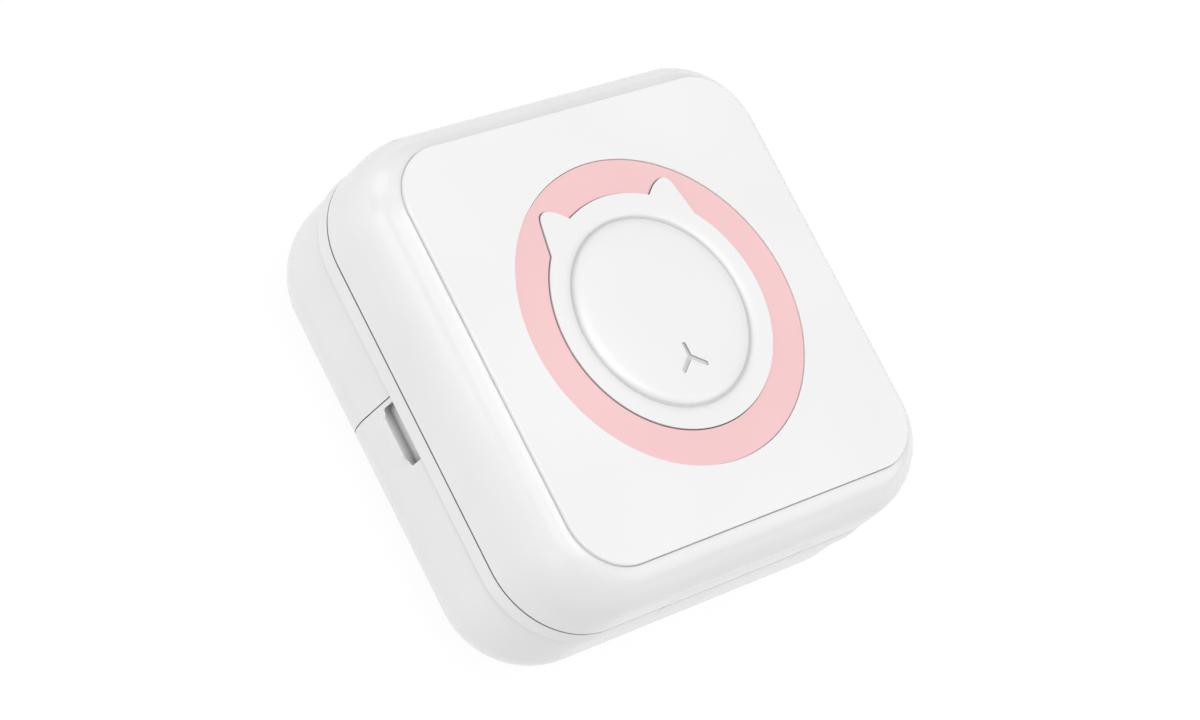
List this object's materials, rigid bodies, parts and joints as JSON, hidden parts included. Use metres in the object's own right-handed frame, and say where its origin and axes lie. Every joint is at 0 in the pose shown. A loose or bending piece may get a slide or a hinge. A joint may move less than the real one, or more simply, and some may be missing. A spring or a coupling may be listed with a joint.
{
  "type": "pocket printer",
  "caption": "Pocket thermal printer: rounded square body, domed two-eared push button, hinged paper cover, paper roll, geared platen and print head.",
  "frame": {"origin": "centre of the bounding box's bottom, on the flat of the back that the printer lies on", "axes": "+Z out of the face with the button, +Y towards the button's ears and the paper slot, -Y towards the cover's hinge, +X towards the charging socket"},
  "size_m": [0.0856, 0.085, 0.0421],
  "materials": {
    "white_housing": "glossy white ABS",
    "white_panel": "glossy white ABS plate",
    "pink_ring": "glossy pale pink ABS",
    "white_button": "glossy white ABS",
    "diffuser": "translucent polycarbonate, unlit",
    "black_plastic": "glass-filled black nylon",
    "natural_nylon": "natural acetal",
    "circuit_board": "solder mask over glass laminate",
    "screw_steel": "black-nickel steel",
    "spring_steel": "bright steel",
    "nickel_shell": "nickel-plated steel",
    "battery_wrap": "laminated pouch foil",
    "foam_pad": "closed-cell foam",
    "motor_can": "zinc-plated drawn can",
    "brass": "turned",
    "platen_rubber": "ground silicone rubber",
    "head_ceramic": "glazed ceramic",
    "aluminium": "extruded",
    "thermal_paper": "coated thermal paper, wound",
    "core_board": "wound cardboard"
  },
  "bodies": {
    "housing": {"front_shell": "white_housing", "face_panel": "white_panel", "accent_ring": "pink_ring", "middle_frame": "white_housing", "rear_shell": "white_housing", "rear_shell_screws": "screw_steel", "housing_screws": "screw_steel", "hinge_pin": "spring_steel", "main_board": "circuit_board", "board_screws": "screw_steel", "tact_switch": "spring_steel", "status_led": "diffuser", "usb_port": "nickel_shell", "battery": "battery_wrap", "battery_pad": "foam_pad", "mechanism_frame": "black_plastic", "mechanism_screws": "screw_steel", "platen_bushes": "natural_nylon", "gear_post": "spring_steel", "stepper_motor": "motor_can", "thermal_head": "head_ceramic", "head_heat_sink": "aluminium", "head_springs": "spring_steel", "tear_bar": "spring_steel", "paper_sensor": "black_plastic"},
    "cover": {"paper_cover": "white_housing"},
    "button": {"power_button": "white_button", "light_guide": "diffuser", "switch_plunger": "black_plastic"},
    "platen": {"platen_shaft": "spring_steel", "platen_roller": "platen_rubber", "platen_gear": "natural_nylon"},
    "reduction": {"reduction_gear": "natural_nylon"},
    "motor_rotor": {"motor_shaft": "spring_steel", "motor_pinion": "brass"},
    "roll": {"paper_roll": "thermal_paper", "roll_core": "core_board"}
  },
  "joints": [
    {"name": "cover_hinge", "type": "hinge", "parent": "housing", "child": "cover", "pos_m": [0, -0.0409, 0.0289], "axis": [-1, 0, 0], "range_deg": [0, 100]},
    {"name": "button_press", "type": "slide", "parent": "housing", "child": "button", "axis": [0, 0, -1], "range_m": [0, 0.0006], "stiffness_N_per_m": 1500, "springref_m": -0.0006},
    {"name": "platen_spin", "type": "hinge", "parent": "housing", "child": "platen", "pos_m": [0, 0.031, 0.0289], "axis": [1, 0, 0], "continuous": true},
    {"name": "reduction_spin", "type": "hinge", "parent": "housing", "child": "reduction", "pos_m": [0, 0.03038, 0.01992], "axis": [1, 0, 0], "continuous": true},
    {"name": "motor_spin", "type": "hinge", "parent": "housing", "child": "motor_rotor", "pos_m": [0, 0.022, 0.0194], "axis": [1, 0, 0], "continuous": true},
    {"name": "roll_spin", "type": "hinge", "parent": "housing", "child": "roll", "pos_m": [0, -0.018, 0.0174], "axis": [1, 0, 0], "continuous": true}
  ],
  "couplings": [
    {"joint": "platen_spin", "follows": "roll_spin", "ratio": 3.5714},
    {"joint": "reduction_spin", "follows": "roll_spin", "ratio": -7.1429},
    {"joint": "motor_spin", "follows": "roll_spin", "ratio": 17.857}
  ]
}
